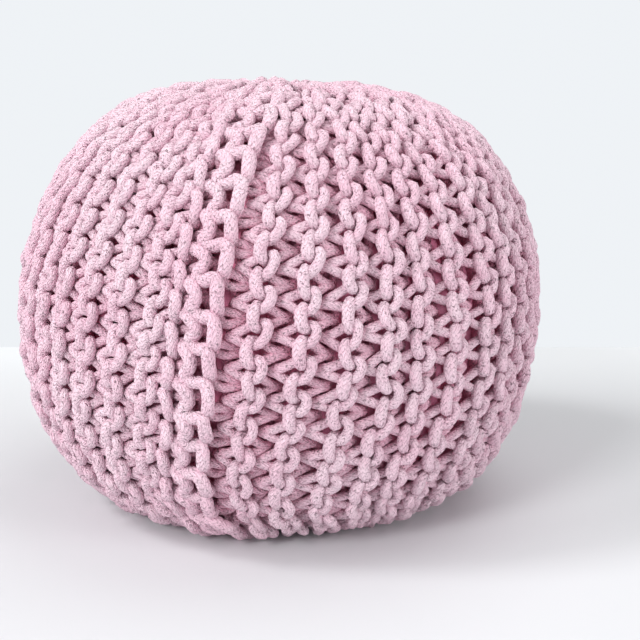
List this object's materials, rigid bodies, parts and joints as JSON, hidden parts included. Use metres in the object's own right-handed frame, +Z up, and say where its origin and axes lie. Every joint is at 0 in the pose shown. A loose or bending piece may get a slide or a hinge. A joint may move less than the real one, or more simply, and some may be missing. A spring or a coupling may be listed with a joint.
{
  "type": "knitted pouf",
  "caption": "Round filled footstool with a garter-stitch cover knitted in thick pink cotton cord, ridges from crown to base, sewn up one side, gathered at the top and flat where it stands.",
  "frame": {"origin": "centre of the flat base, on the surface that the pouf stands on", "axes": "+Z up along the pouf's own axis; -Y is the front, where the sewn seam is; +X to the right seen from the front"},
  "size_m": [0.3997, 0.3997, 0.3179],
  "materials": {
    "cotton_cord": "matt pale pink cotton cord with a soft fuzz and fine grey flecks",
    "casing_cloth": "plain matt deep pink cloth"
  },
  "bodies": {
    "root": {"knit_cover": "cotton_cord", "casing": "casing_cloth", "seam_cord": "cotton_cord"}
  },
  "joints": []
}
